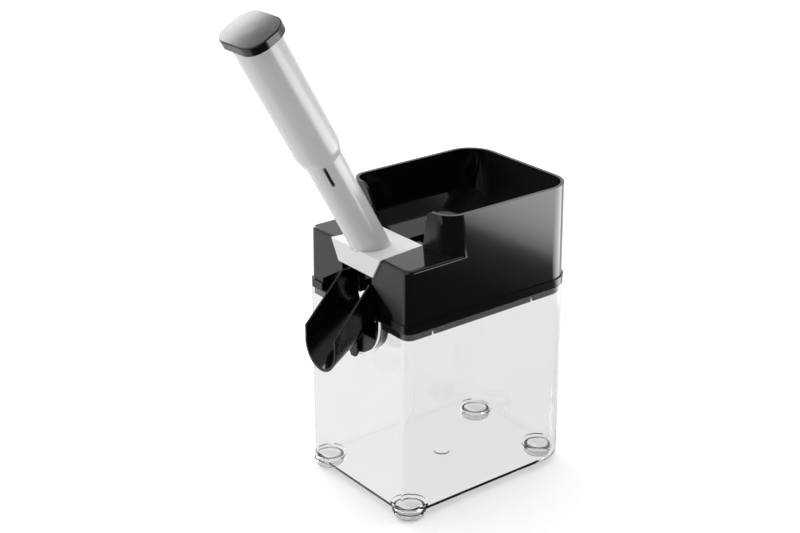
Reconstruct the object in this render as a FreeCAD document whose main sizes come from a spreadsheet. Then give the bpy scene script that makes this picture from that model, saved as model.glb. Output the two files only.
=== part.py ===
import FreeCAD, Part
import math
import os
import re

import Sketcher
from FreeCAD import Placement, Rotation, Vector

# A hand-plunger pitter: a clear box stands on four feet, a black hopper head sits on its rim,
# and a sprung plunger leans over the seat below it.
# Row frame: origin on the table under the middle of the whole object, +Z up, the chute faces -Y.

doc = FreeCAD.newDocument("plunger_pitter")
sheet = doc.addObject("Spreadsheet::Sheet", "Sizes")

SIZES = [
    # Clear box
    ("ctn_width", 96.0),
    ("ctn_length", 130.0),
    ("ctn_height", 117.0),
    ("ctn_wall", 2.0),
    ("ctn_floor", 2.4),
    ("ctn_front_radius", 6.0),
    ("ctn_rear_radius", 20.0),
    ("ctn_edge_radius", 2.2),
    ("gate_radius", 5.0),
    ("gate_rise", 0.8),
    ("notch_radius", 21.4),
    ("notch_depth", 25.9),
    ("lip_width", 1.8),
    ("lip_depth", 3.6),
    # Feet and their sockets in the box
    ("foot_height", 4.5),
    ("foot_radius", 9.0),
    ("foot_stem_radius", 7.0),
    ("foot_stem_rise", 2.2),
    ("foot_ring_depth", 0.5),
    ("foot_edge", 1.2),
    ("boss_radius", 10.4),
    ("boss_rise", 4.2),
    ("front_foot_inset", 8.6),
    ("rear_foot_inset_across", 17.5),
    ("rear_foot_inset_along", 11.0),
    # Hopper head
    ("head_inset", 0.9),
    ("head_draft", 0.62),
    ("head_wall", 2.2),
    ("head_front_radius", 5.4),
    ("head_rear_radius", 19.0),
    ("flange_height", 5.0),
    ("skirt_depth", 4.5),
    ("skirt_wall", 1.6),
    ("skirt_notch", 2.0),
    ("deck_rise", 37.8),
    ("deck_edge_radius", 2.0),
    ("rim_rise", 62.7),
    ("hopper_setback", 33.0),
    ("hopper_lean", 3.7),
    ("hopper_corner_radius", 12.0),
    ("hopper_wall", 1.8),
    ("mouth_low_half", 20.5),
    ("mouth_high_half", 29.0),
    ("mouth_corner_radius", 6.5),
    ("ledge_drop", 0.8),
    ("ledge_half", 42.0),
    ("floor_fall", 9.0),
    ("floor_plate", 2.2),
    ("lane_half", 13.5),
    ("lane_wall", 2.0),
    ("lane_rear_drop", 10.0),
    ("lane_front_drop", 25.0),
    ("lane_front", 40.0),
    ("lane_rear", 105.0),
    # Cut-out and niche of the head's front
    ("cover_top_half", 23.2),
    ("cover_low_half", 16.2),
    ("cover_rear_half", 19.8),
    ("cover_height", 12.5),
    ("cover_length", 33.5),
    ("cover_wall", 2.0),
    ("neck_height", 5.1),
    ("gable_drop", 12.0),
    ("niche_half", 33.6),
    ("niche_depth", 7.0),
    ("niche_sill", 0.8),
    ("tongue_rim", 2.2),
    ("tongue_sill", 12.5),
    # Chute
    ("chute_half", 13.9),
    ("chute_mouth_half", 14.9),
    ("chute_wall", 1.6),
    ("chute_reach", 25.6),
    ("chute_back", 11.0),
    ("chute_floor_drop", 31.5),
    ("chute_rim_slope", 47.4),
    ("chute_floor_slope", 33.6),
    ("tab_half", 4.2),
    ("tab_wall", 2.2),
    ("tab_drop", 29.0),
    # Clearances
    ("lift_gap", 0.3),
    ("snap_gap", 0.1),
    ("slide_gap", 0.08),
    # Plunger axis, from the deck level up along the lean
    ("plunger_tilt", 29.14),
    ("plunger_setback", 11.2),
    ("plunger_travel", 45.0),
    ("tube_radius", 10.65),
    ("tube_wall", 1.7),
    ("tube_drop", 7.0),
    ("slot_width", 1.9),
    ("slot_turn", 57.0),
    ("slot_start", 53.8),
    ("barb_reach", 0.65),
    ("barb_height", 3.0),
    ("collar_low", 68.2),
    ("collar_height", 6.0),
    ("sleeve_low_radius", 13.3),
    ("sleeve_top_radius", 13.5),
    ("sleeve_wall", 1.7),
    ("sleeve_chamfer", 1.5),
    ("sleeve_chamfer_height", 6.5),
    ("sleeve_top", 151.8),
    ("cap_height", 5.6),
    ("cap_half", 19.1),
    ("cap_deep_half", 13.6),
    ("cap_corner_radius", 11.2),
    ("cap_dome", 1.2),
    ("cap_plug", 3.0),
    ("cap_edge", 0.8),
    ("stem_radius", 5.5),
    ("stem_flange_low", 86.0),
    ("stem_flange_radius", 8.5),
    ("stem_flange_height", 2.5),
    ("stem_bore_depth", 16.0),
    ("rod_radius", 2.5),
    ("rod_tip", 5.0),
    ("cross_length", 12.0),
    ("cross_groove", 1.1),
    ("pin_radius", 1.0),
    ("screw_radius", 1.5),
    ("screw_head_radius", 2.8),
    ("screw_head_height", 1.8),
    ("screw_length", 9.0),
    # Spring and what it stands on
    ("spring_radius", 6.9),
    ("spring_wire", 1.2),
    ("spring_turns", 15),
    ("washer_height", 1.0),
    ("stripper_height", 4.0),
    ("wiper_wall", 1.5),
    ("wiper_height", 1.4),
    # Seat under the plunger
    ("seat_depth", 36.0),
    ("seat_radius", 17.0),
    ("seat_height", 8.0),
    ("seat_bowl_radius", 12.0),
    ("seat_hole_radius", 6.5),
    ("seat_bowl_depth", 3.6),
    ("socket_wall", 2.2),
    ("socket_ledge", 2.0),
    ("membrane_height", 1.2),
    ("membrane_slit", 0.5),
    ("keeper_height", 1.6),
]

for row, (alias, size) in enumerate(SIZES, start=1):
    sheet.set("A%d" % row, alias)
    sheet.set("B%d" % row, str(size))
    sheet.setAlias("B%d" % row, alias)
doc.recompute()


ALIASES = {alias for alias, size in SIZES}


def bound(text):
    """An expression on the sheet, from one that names its sizes alone."""
    return re.sub("[a-z_]+", lambda word: ("Sizes." if word.group() in ALIASES else "") + word.group(), text)


def num(text):
    """The value that such an expression has now."""
    return float(sheet.evalExpression(bound(text)))


# Levels and places that many pieces share
BOX_RIM = "(foot_height + ctn_height)"
DECK = "(foot_height + ctn_height + deck_rise)"
HOPPER_RIM = "(foot_height + ctn_height + rim_rise)"
FRONT = "(-ctn_length / 2)"
AXIS_Y = "(plunger_setback - ctn_length / 2)"
NECK_LOW = "(foot_height + ctn_height + deck_rise - cover_height - neck_height)"
COLLAR_TOP = "(collar_low + collar_height)"
TUBE_TOP = "(collar_low + collar_height + lift_gap + barb_height)"
WEB_LOW = "(sleeve_top - 2 * cap_plug)"
SEAT_LOW = "(-seat_depth - seat_height + cap_plug)"


def new_body(label):
    body = doc.addObject("PartDesign::Body", label)
    body.Label = label
    return body


def new_sketch(body, role, level="0"):
    """A sketch on one of the body's own planes, raised along that plane's normal."""
    drawing = body.newObject("Sketcher::SketchObject", body.Name + "_sketch")
    plane = [item for item in body.Origin.OriginFeatures if item.Role == role][0]
    drawing.AttachmentSupport = [(plane, "")]
    drawing.MapMode = "FlatFace"
    drawing.setExpression("AttachmentOffset.Base.z", bound(level))
    return drawing


def place_point(drawing, geometry, vertex, x, y):
    for kind, text, axis in (("DistanceX", x, -2), ("DistanceY", y, -1)):
        if text == "0":
            drawing.addConstraint(Sketcher.Constraint("PointOnObject", geometry, vertex, axis))
        else:
            index = drawing.addConstraint(Sketcher.Constraint(kind, -1, 1, geometry, vertex, num(text)))
            drawing.setExpression("Constraints[%d]" % index, bound(text))


def draw_outline(drawing, points):
    """A closed outline of straight lines whose corners are pairs of expressions."""
    corners = [Vector(num(x), num(y), 0) for x, y in points]
    first = drawing.GeometryCount
    count = len(points)
    for index in range(count):
        drawing.addGeometry(Part.LineSegment(corners[index], corners[(index + 1) % count]))
    for index in range(count):
        after = first + (index + 1) % count
        drawing.addConstraint(Sketcher.Constraint("Coincident", first + index, 2, after, 1))
        place_point(drawing, first + index, 1, points[index][0], points[index][1])


def draw_circle(drawing, x, y, radius):
    circle = Part.Circle(Vector(num(x), num(y), 0), Vector(0, 0, 1), num(radius))
    geometry = drawing.addGeometry(circle)
    place_point(drawing, geometry, 3, x, y)
    index = drawing.addConstraint(Sketcher.Constraint("Radius", geometry, num(radius)))
    drawing.setExpression("Constraints[%d]" % index, bound(radius))


def draw_rounded(drawing, half_x, front, rear, front_radius, rear_radius):
    """A rounded rectangle: straight sides and tangent corner arcs, one radius in front, one behind."""
    side, low, high = num(half_x), num(front), num(rear)
    near, far = num(front_radius), num(rear_radius)
    sides = [
        ((near - side, low), (side - near, low), "DistanceY", front),
        ((side, low + near), (side, high - far), "DistanceX", half_x),
        ((side - far, high), (far - side, high), "DistanceY", rear),
        ((-side, high - far), (-side, low + near), "DistanceX", "-(%s)" % half_x),
    ]
    corners = [(side - near, low + near, front_radius), (side - far, high - far, rear_radius),
               (far - side, high - far, rear_radius), (near - side, low + near, front_radius)]
    lines = []
    arcs = []
    for turn, (start, end, kind, text) in enumerate(sides):
        lines.append(drawing.addGeometry(Part.LineSegment(Vector(*start, 0), Vector(*end, 0))))
        x, y, radius = corners[turn]
        circle = Part.Circle(Vector(x, y, 0), Vector(0, 0, 1), num(radius))
        quarter = math.pi / 2
        arc = Part.ArcOfCircle(circle, (turn - 1) * quarter, turn * quarter)
        arcs.append(drawing.addGeometry(arc))
    for turn, (start, end, kind, text) in enumerate(sides):
        following = lines[(turn + 1) % 4]
        straight = "Horizontal" if kind == "DistanceY" else "Vertical"
        drawing.addConstraint(Sketcher.Constraint(straight, lines[turn]))
        drawing.addConstraint(Sketcher.Constraint("Tangent", lines[turn], 2, arcs[turn], 1))
        drawing.addConstraint(Sketcher.Constraint("Tangent", arcs[turn], 2, following, 1))
        index = drawing.addConstraint(Sketcher.Constraint(kind, -1, 1, lines[turn], 1, num(text)))
        drawing.setExpression("Constraints[%d]" % index, bound(text))
        index = drawing.addConstraint(Sketcher.Constraint("Radius", arcs[turn], num(corners[turn][2])))
        drawing.setExpression("Constraints[%d]" % index, bound(corners[turn][2]))


def rectangle(half_x, low_y, high_y):
    return [("-" + half_x, low_y), (half_x, low_y), (half_x, high_y), ("-" + half_x, high_y)]


def add_pad(body, drawing, length, midplane=False, taper=None, kind="Pad"):
    feature = body.newObject("PartDesign::" + kind, body.Name + "_" + kind.lower())
    feature.Profile = drawing
    feature.setExpression("Length", bound(length))
    feature.Midplane = midplane
    if taper:
        feature.setExpression("TaperAngle", bound(taper))
    body.Tip = feature
    doc.recompute()
    return feature


def add_pocket(body, drawing, length, midplane=False):
    return add_pad(body, drawing, length, midplane, kind="Pocket")


def add_turning(body, drawing, kind="Revolution"):
    feature = body.newObject("PartDesign::" + kind, body.Name + "_" + kind.lower())
    feature.Profile = drawing
    feature.ReferenceAxis = (drawing, ["V_Axis"])
    feature.Angle = 360
    body.Tip = feature
    doc.recompute()
    return feature


def add_fillet(body, chosen, radius):
    """Rounds the edges of the body's last feature that the test chooses."""
    base = body.Tip
    names = ["Edge%d" % (n + 1) for n, edge in enumerate(base.Shape.Edges) if chosen(edge)]
    feature = body.newObject("PartDesign::Fillet", body.Name + "_fillet")
    feature.Base = (base, names)
    feature.setExpression("Radius", bound(radius))
    body.Tip = feature
    doc.recompute()
    return feature


def middle(edge):
    return edge.valueAt((edge.FirstParameter + edge.LastParameter) / 2)


def is_upright(edge):
    ends = edge.Vertexes
    if len(ends) < 2:
        return False
    rise = abs(ends[0].Z - ends[1].Z)
    return rise > 0.9 * edge.Length and edge.Curve.TypeId == "Part::GeomLine"


def prism(label, role, points, low, high):
    """A straight solid on one of the three planes, from one level to another."""
    body = new_body(label)
    drawing = new_sketch(body, role, low)
    draw_outline(drawing, points)
    add_pad(body, drawing, "(%s) - (%s)" % (high, low))
    return body


def crosswise(label, points, half):
    """A straight solid across the object, the same to both sides of its middle plane."""
    body = new_body(label)
    drawing = new_sketch(body, "YZ_Plane")
    draw_outline(drawing, points)
    add_pad(body, drawing, "2 * (%s)" % half, midplane=True)
    return body


def turned(label, points):
    """A round solid about its own upright axis, from pairs of radius and level."""
    body = new_body(label)
    drawing = new_sketch(body, "XZ_Plane")
    draw_outline(drawing, points)
    add_turning(body, drawing)
    return body


def lean(piece):
    """Sets a piece that is drawn about its own axis on the plunger's axis at deck level."""
    turn = Rotation(Vector(1, 0, 0), num("plunger_tilt"))
    piece.Placement = Placement(Vector(0, num(AXIS_Y), num(DECK)), turn)
    piece.setExpression("Placement.Base.y", bound(AXIS_Y))
    piece.setExpression("Placement.Base.z", bound(DECK))
    piece.setExpression("Placement.Rotation.Angle", bound("plunger_tilt"))
    return piece


def joined(label, kind, pieces):
    """A boolean of several solids: MultiFuse, MultiCommon, or Cut of the first by the second."""
    result = doc.addObject("Part::" + kind, label)
    result.Label = label
    if kind == "Cut":
        result.Base, result.Tool = pieces
    else:
        result.Shapes = pieces
    doc.recompute()
    return result


# The clear box: a straight-sided shell with tight front corners and wide rear ones, a U notch with
# a thick lip in its front wall, a flat boss over each foot and the gate mark of its moulding.
container = new_body("container")
drawing = new_sketch(container, "XY_Plane", "foot_height")
draw_rounded(drawing, "ctn_width / 2", FRONT, "ctn_length / 2", "ctn_front_radius", "ctn_rear_radius")
add_pad(container, drawing, "ctn_height")
add_fillet(container, lambda edge: max(v.Z for v in edge.Vertexes) < num("foot_height") + 0.01,
           "ctn_edge_radius")
drawing = new_sketch(container, "XY_Plane", BOX_RIM)
draw_rounded(drawing, "ctn_width / 2 - ctn_wall", "ctn_wall - ctn_length / 2", "ctn_length / 2 - ctn_wall",
             "ctn_front_radius - ctn_wall", "ctn_rear_radius - ctn_wall")
add_pocket(container, drawing, "ctn_height - ctn_floor")

NOTCH_Z = "(foot_height + ctn_height - notch_depth + notch_radius)"
drawing = new_sketch(container, "XZ_Plane", "ctn_length / 2 - lip_depth")
draw_circle(drawing, "0", NOTCH_Z, "notch_radius + lip_width")
add_pad(container, drawing, "lip_depth")
drawing = new_sketch(container, "XZ_Plane", "ctn_length / 2 + 1")
draw_outline(drawing, rectangle("(notch_radius + lip_width + 1)", BOX_RIM, BOX_RIM + " + 2 * notch_radius"))
add_pocket(container, drawing, "lip_depth + 2")
drawing = new_sketch(container, "XZ_Plane", "ctn_length / 2 + 1")
draw_circle(drawing, "0", NOTCH_Z, "notch_radius")
add_pocket(container, drawing, "lip_depth + 2")
drawing = new_sketch(container, "XZ_Plane", "ctn_length / 2 + 1")
draw_outline(drawing, rectangle("notch_radius", NOTCH_Z, BOX_RIM + " + 1"))
add_pocket(container, drawing, "lip_depth + 2")

front_foot = ("(ctn_width / 2 - front_foot_inset)", "(front_foot_inset - ctn_length / 2)")
rear_foot = ("(ctn_width / 2 - rear_foot_inset_across)", "(ctn_length / 2 - rear_foot_inset_along)")
FEET = {
    "foot_front_left": ("-" + front_foot[0], front_foot[1]),
    "foot_front_right": front_foot,
    "foot_rear_left": ("-" + rear_foot[0], rear_foot[1]),
    "foot_rear_right": rear_foot,
}
for x, y in FEET.values():
    drawing = new_sketch(container, "XY_Plane", "foot_height")
    draw_circle(drawing, x, y, "boss_radius")
    add_pad(container, drawing, "boss_rise")
for x, y in FEET.values():
    drawing = new_sketch(container, "XY_Plane", "foot_height + foot_stem_rise")
    draw_circle(drawing, x, y, "foot_stem_radius + snap_gap")
    add_pocket(container, drawing, "foot_stem_rise + 1")
drawing = new_sketch(container, "XY_Plane", "foot_height + ctn_floor / 2")
draw_circle(drawing, "0", "0", "gate_radius")
add_pad(container, drawing, "ctn_floor / 2 + gate_rise")

# The feet: soft clear discs with a ring groove, each pressed into its boss by a short stem
feet = []
for label, (x, y) in FEET.items():
    foot = turned(label, [
        ("0", "0"), ("foot_radius - foot_edge", "0"), ("foot_radius", "foot_edge"),
        ("foot_radius", "foot_height / 2"), ("foot_radius - foot_ring_depth", "foot_height / 2"),
        ("foot_radius - foot_ring_depth", "foot_height / 2 + foot_ring_depth"),
        ("foot_radius", "foot_height / 2 + foot_ring_depth"), ("foot_radius", "foot_height"),
        ("foot_stem_radius", "foot_height"),
        ("foot_stem_radius", "foot_height + foot_stem_rise - snap_gap"),
        ("0", "foot_height + foot_stem_rise - snap_gap"),
    ])
    foot.setExpression("Placement.Base.x", bound(x))
    foot.setExpression("Placement.Base.y", bound(y))
    feet.append(foot)


def head_block(label, gap, wall, top):
    """The head's outer form, or its hollow where the gap and wall are real: a drafted block whose
    front part ends at the deck and whose rear part rises to the hopper rim behind a leaning wall."""
    block = new_body(label)
    inset = "(head_inset + %s)" % gap
    deck = "(%s - %s)" % (DECK, gap)
    front_wall = "(hopper_setback - ctn_length / 2 + %s)" % wall
    drawing = new_sketch(block, "XY_Plane", BOX_RIM)
    draw_rounded(drawing, "(ctn_width / 2 - %s)" % inset, "(%s - ctn_length / 2)" % inset,
                 "(ctn_length / 2 - %s)" % inset, "(head_front_radius - %s)" % gap,
                 "(head_rear_radius - %s)" % gap)
    add_pad(block, drawing, "rim_rise + %s" % top, taper="-head_draft")
    lean_rate = "hopper_lean / (rim_rise - deck_rise)"
    drawing = new_sketch(block, "YZ_Plane")
    draw_outline(drawing, [
        ("-ctn_length / 2 - 5", deck), (front_wall + " + %s * %s" % (gap, lean_rate), deck),
        (front_wall + " - hopper_lean - %s * %s" % (top, lean_rate), HOPPER_RIM + " + " + top),
        ("-ctn_length / 2 - 5", HOPPER_RIM + " + " + top),
    ])
    add_pocket(block, drawing, "2 * ctn_width", midplane=True)

    def hopper_corner(edge):
        spot = middle(edge)
        above = min(vertex.Z for vertex in edge.Vertexes) > num(deck) - 0.01
        return is_upright(edge) and above and spot.y < 0

    add_fillet(block, hopper_corner, "hopper_corner_radius - " + wall)
    return block


def deck_rim(edge):
    spot = middle(edge)
    return abs(spot.z - num(DECK)) < 0.01 and all(abs(v.Z - num(DECK)) < 0.01 for v in edge.Vertexes) and (
        spot.y < num("hopper_setback - ctn_length / 2") - 1 or abs(spot.x) > num("ctn_width / 2 - 2"))


# The hopper head: one black moulding. Its flange lies on the box's rim with a skirt inside, its deck
# carries the plunger cover in a sloped seat, and its hopper falls to a lane that ends at the seat.
head_outer = head_block("head_outer", "0", "0", "0")
add_fillet(head_outer, deck_rim, "deck_edge_radius")
head_hollow = head_block("head_hollow", "head_wall", "hopper_wall", "2")
head_shell = joined("head_shell", "Cut", [head_outer, head_hollow])

flange = new_body("head_flange")
drawing = new_sketch(flange, "XY_Plane", BOX_RIM)
draw_rounded(drawing, "ctn_width / 2", FRONT, "ctn_length / 2", "ctn_front_radius", "ctn_rear_radius")
add_pad(flange, drawing, "flange_height")
skirt_side = "(ctn_wall + lift_gap)"
drawing = new_sketch(flange, "XY_Plane", BOX_RIM + " - skirt_depth")
draw_rounded(drawing, "(ctn_width / 2 - %s)" % skirt_side, "(%s - ctn_length / 2)" % skirt_side,
             "(ctn_length / 2 - %s)" % skirt_side, "(ctn_front_radius - %s)" % skirt_side,
             "(ctn_rear_radius - %s)" % skirt_side)
add_pad(flange, drawing, "skirt_depth")
for spot in ("hopper_setback - ctn_length / 2 - 14", "ctn_length / 2 - 36"):
    drawing = new_sketch(flange, "YZ_Plane")
    draw_outline(drawing, [
        (spot, BOX_RIM + " - skirt_depth - 1"), (spot + " + skirt_notch", BOX_RIM + " - skirt_depth - 1"),
        (spot + " + skirt_notch", BOX_RIM + " - skirt_depth / 2"), (spot, BOX_RIM + " - skirt_depth / 2"),
    ])
    add_pocket(flange, drawing, "2 * ctn_width", midplane=True)
drawing = new_sketch(flange, "XZ_Plane", "ctn_length / 2 + 1")
lip_half = "(notch_radius + lip_width + lift_gap)"
draw_outline(drawing, rectangle(lip_half, BOX_RIM + " - skirt_depth - 1", BOX_RIM))
add_pocket(flange, drawing, "head_wall + ctn_wall + 4")
drawing = new_sketch(flange, "XY_Plane", BOX_RIM + " + flange_height")
bore_side = "(%s + skirt_wall)" % skirt_side
draw_rounded(drawing, "(ctn_width / 2 - %s)" % bore_side, "(%s - ctn_length / 2)" % bore_side,
             "(ctn_length / 2 - %s)" % bore_side, "(ctn_front_radius - %s)" % skirt_side,
             "(ctn_rear_radius - %s)" % bore_side)
add_pocket(flange, drawing, "flange_height + skirt_depth + 1")

# The hopper floor inside the head: two side slopes and the lane between them
FLOOR_TOP = "(%s - ledge_drop)" % DECK
slope_foot = "(%s - floor_fall)" % FLOOR_TOP
wall_x = "(ctn_width / 2)"
slopes = prism("hopper_slopes", "XZ_Plane", [
    ("-" + wall_x, FLOOR_TOP), ("-" + wall_x, FLOOR_TOP + " - floor_plate"),
    ("-ledge_half", FLOOR_TOP + " - floor_plate"), ("-lane_half", slope_foot + " - floor_plate"),
    ("lane_half", slope_foot + " - floor_plate"), ("ledge_half", FLOOR_TOP + " - floor_plate"),
    (wall_x, FLOOR_TOP + " - floor_plate"), (wall_x, FLOOR_TOP), ("ledge_half", FLOOR_TOP),
    ("lane_half", slope_foot), ("-lane_half", slope_foot), ("-ledge_half", FLOOR_TOP),
], "-ctn_length / 2", "ctn_length / 2 - hopper_setback")
LANE_FRONT = "(lane_front - ctn_length / 2)"
LANE_REAR = "(lane_rear - ctn_length / 2)"
lane_low = "(%s - lane_front_drop)" % DECK
lane_high = "(%s - lane_rear_drop)" % DECK
lane_block = crosswise("lane_block", [
    (LANE_FRONT, lane_low + " - floor_plate"), (LANE_REAR, lane_high + " - floor_plate"),
    (LANE_REAR, slope_foot), (LANE_FRONT, slope_foot),
], "(lane_half + lane_wall)")
cheeks = crosswise("lane_cheeks", [
    (FRONT + " + plunger_setback + 2", "(%s - cover_height - head_wall)" % DECK),
    (FRONT + " + plunger_setback + 2", "(%s + 3)" % BOX_RIM),
    (LANE_FRONT, "(%s + 3)" % BOX_RIM), (LANE_FRONT, slope_foot),
    ("(hopper_setback - ctn_length / 2)", slope_foot),
    ("(hopper_setback - ctn_length / 2)", "(%s - cover_height - head_wall)" % DECK),
], "(lane_half + lane_wall)")
socket_low = "(%s - socket_ledge)" % SEAT_LOW
socket = lean(turned("seat_socket", [
    ("seat_radius - socket_ledge", socket_low), ("seat_radius + lift_gap + socket_wall", socket_low),
    ("seat_radius + lift_gap + socket_wall", "-seat_depth"), ("seat_radius - socket_ledge", "-seat_depth"),
]))


def cover_block(label, side, front, rear, high, low):
    """The tapering wedge of the plunger cover, wider, longer or deeper by the named amounts."""
    block = new_body(label)
    profiles = []
    for half, back in (("cover_top_half", "%s - (%s)" % (FRONT, front)),
                       ("cover_rear_half", "%s + cover_length + %s" % (FRONT, rear))):
        flare = "((cover_top_half - cover_low_half) / cover_height)"
        narrow = "(%s + (%s - cover_height) * %s + %s)" % (half, low, flare, side)
        wide = "(%s + (%s) * %s + %s)" % (half, high, flare, side)
        drawing = new_sketch(block, "XZ_Plane", "-(%s)" % back)
        draw_outline(drawing, [
            ("-" + narrow, DECK + " - cover_height + " + low), (narrow, DECK + " - cover_height + " + low),
            (wide, DECK + " + " + high), ("-" + wide, DECK + " + " + high),
        ])
        profiles.append(drawing)
    feature = block.newObject("PartDesign::AdditiveLoft", label + "_loft")
    feature.Profile = profiles[0]
    feature.Sections = [profiles[1]]
    feature.Ruled = True
    block.Tip = feature
    doc.recompute()
    return block


cover_bed = cover_block("cover_bed", "lift_gap + head_wall", "0", "head_wall", "0", "0 - head_wall")
niche_outer = prism("niche_outer", "XZ_Plane", [
    ("-(niche_half + head_wall)", BOX_RIM), ("niche_half + head_wall", BOX_RIM),
    ("niche_half + head_wall", NECK_LOW), ("-(niche_half + head_wall)", NECK_LOW),
], "ctn_length / 2 - niche_depth - head_wall", "ctn_length / 2 - head_inset")
neck_outer = prism("neck_outer", "XZ_Plane", [
    ("-(niche_half / 2)", NECK_LOW + " - 1"), ("niche_half / 2", NECK_LOW + " - 1"),
    ("niche_half / 2", NECK_LOW + " + neck_height"), ("-(niche_half / 2)", NECK_LOW + " + neck_height"),
], "ctn_length / 2 - niche_depth - head_wall", "ctn_length / 2 - head_inset")
fittings = joined("head_fittings", "MultiFuse",
                  [slopes, lane_block, cheeks, socket, cover_bed, niche_outer, neck_outer])
fittings_inside = joined("head_fittings_inside", "MultiCommon", [fittings, head_outer])
socket_below = lean(turned("seat_socket_below", [
    ("seat_radius - socket_ledge", socket_low), ("seat_radius + lift_gap + socket_wall", socket_low),
    ("seat_radius + lift_gap + socket_wall", "-seat_depth"), ("seat_radius - socket_ledge", "-seat_depth"),
]))

# The tongue: the front wall carried down into the box's notch
tongue = new_body("head_tongue")
drawing = new_sketch(tongue, "XZ_Plane", "ctn_length / 2 - niche_depth - head_wall")
draw_circle(drawing, "0", NOTCH_Z, "notch_radius - lift_gap")
add_pad(tongue, drawing, "niche_depth + head_wall")
drawing = new_sketch(tongue, "XZ_Plane", "ctn_length / 2 - niche_depth - head_wall")
draw_outline(drawing, rectangle("(notch_radius - lift_gap)", NOTCH_Z, BOX_RIM + " + flange_height"))
add_pad(tongue, drawing, "niche_depth + head_wall")
drawing = new_sketch(tongue, "XZ_Plane", "ctn_length / 2 + 1")
tongue_top = BOX_RIM + " + flange_height"
draw_outline(drawing, rectangle("(notch_radius + 1)", tongue_top, BOX_RIM + " + notch_radius"))
add_pocket(tongue, drawing, "niche_depth + head_wall + 2")

# What is cut out of the head once it is whole
cover_room = cover_block("cover_room", "lift_gap", "1", "lift_gap", "1", "0")
floor_height = "tan(chute_floor_slope)"
chute_low = "(%s - chute_floor_drop)" % BOX_RIM


def trough(label, thinner, longer):
    """A round-bottomed channel along the chute's floor, from its mouth back into the head."""
    block = new_body(label)
    profiles = []
    spread = "((chute_mouth_half - chute_half) / chute_reach)"
    for along in ("(-chute_reach - %s)" % longer, "(chute_back + %s)" % longer):
        level = "(ctn_length / 2 - %s)" % along
        half = "(chute_half - %s * %s - %s)" % (along, spread, thinner)
        foot = "(%s + (chute_reach + %s) * %s + 1.2 * %s)" % (chute_low, along, floor_height, thinner)
        drawing = new_sketch(block, "XZ_Plane", level)
        draw_channel(drawing, half, foot, NECK_LOW + " + chute_reach")
        profiles.append(drawing)
    feature = block.newObject("PartDesign::AdditiveLoft", label + "_loft")
    feature.Profile = profiles[0]
    feature.Sections = [profiles[1]]
    feature.Ruled = True
    block.Tip = feature
    doc.recompute()
    return block


def draw_channel(drawing, half, foot, top):
    """A half circle standing on foot with two straight sides up to top."""
    h, f, high = num(half), num(foot), num(top)
    centre = f + h
    drawing.addGeometry(Part.ArcOfCircle(Part.Circle(Vector(0, centre, 0), Vector(0, 0, 1), h),
                                         math.pi, 2 * math.pi))
    drawing.addGeometry(Part.LineSegment(Vector(h, centre, 0), Vector(h, high, 0)))
    drawing.addGeometry(Part.LineSegment(Vector(h, high, 0), Vector(-h, high, 0)))
    drawing.addGeometry(Part.LineSegment(Vector(-h, high, 0), Vector(-h, centre, 0)))
    drawing.addConstraint(Sketcher.Constraint("Coincident", 1, 2, 2, 1))
    drawing.addConstraint(Sketcher.Constraint("Coincident", 2, 2, 3, 1))
    drawing.addConstraint(Sketcher.Constraint("PointOnObject", 0, 3, -2))
    drawing.addConstraint(Sketcher.Constraint("Tangent", 0, 2, 1, 1))
    drawing.addConstraint(Sketcher.Constraint("Tangent", 3, 2, 0, 1))
    drawing.addConstraint(Sketcher.Constraint("Horizontal", 2))
    index = drawing.addConstraint(Sketcher.Constraint("Radius", 0, h))
    drawing.setExpression("Constraints[%d]" % index, bound(half))
    index = drawing.addConstraint(Sketcher.Constraint("DistanceY", -1, 1, 0, 3, centre))
    drawing.setExpression("Constraints[%d]" % index, bound("(%s + %s)" % (foot, half)))
    index = drawing.addConstraint(Sketcher.Constraint("DistanceY", -1, 1, 2, 1, high))
    drawing.setExpression("Constraints[%d]" % index, bound(top))


passage_form = trough("passage_form", "(0 - lift_gap)", "1")
passage_height = crosswise("passage_height", [
    (FRONT + " - 2", chute_low), (FRONT + " + chute_back + 1", chute_low),
    (FRONT + " + chute_back + 1", DECK + " - cover_height + 0.5"),
    (FRONT + " - 2", DECK + " - cover_height + 0.5"),
], "(chute_mouth_half + 1)")
passage = joined("chute_passage", "MultiCommon", [passage_form, passage_height])
lane_room = crosswise("lane_room", [
    (FRONT + " + chute_back", DECK + " - cover_height + 0.5"),
    (FRONT + " + chute_back", lane_low + " - 12"), (LANE_FRONT + " - 6", lane_low + " - 3"),
    (LANE_FRONT, lane_low), (LANE_REAR, lane_high), (LANE_REAR, DECK + " + 1"),
    ("(hopper_setback - ctn_length / 2 + 1)", DECK + " + 1"),
    ("(hopper_setback - ctn_length / 2 + 1)", DECK + " - cover_height + 0.5"),
], "lane_half")
SEAT_TOP = "(cap_plug - seat_depth)"
seat_room = lean(turned("seat_room", [
    ("0", SEAT_LOW), ("seat_radius + lift_gap", SEAT_LOW),
    ("seat_radius + lift_gap", SEAT_TOP + " + lift_gap"), ("0", SEAT_TOP + " + lift_gap"),
]))
drop_way = lean(turned("drop_way", [
    ("0", socket_low + " - 1"), ("seat_radius - socket_ledge", socket_low + " - 1"),
    ("seat_radius - socket_ledge", SEAT_LOW + " + 1"), ("0", SEAT_LOW + " + 1"),
]))
niche = prism("niche_room", "XZ_Plane", [
    ("-niche_half", BOX_RIM + " + niche_sill"), ("niche_half", BOX_RIM + " + niche_sill"),
    ("niche_half", NECK_LOW + " - gable_drop"), ("chute_half + lift_gap", NECK_LOW),
    ("-(chute_half + lift_gap)", NECK_LOW), ("-niche_half", NECK_LOW + " - gable_drop"),
], "ctn_length / 2 - niche_depth", "ctn_length / 2 + 1")
tongue_half = "(notch_radius - lift_gap - tongue_rim)"
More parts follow.
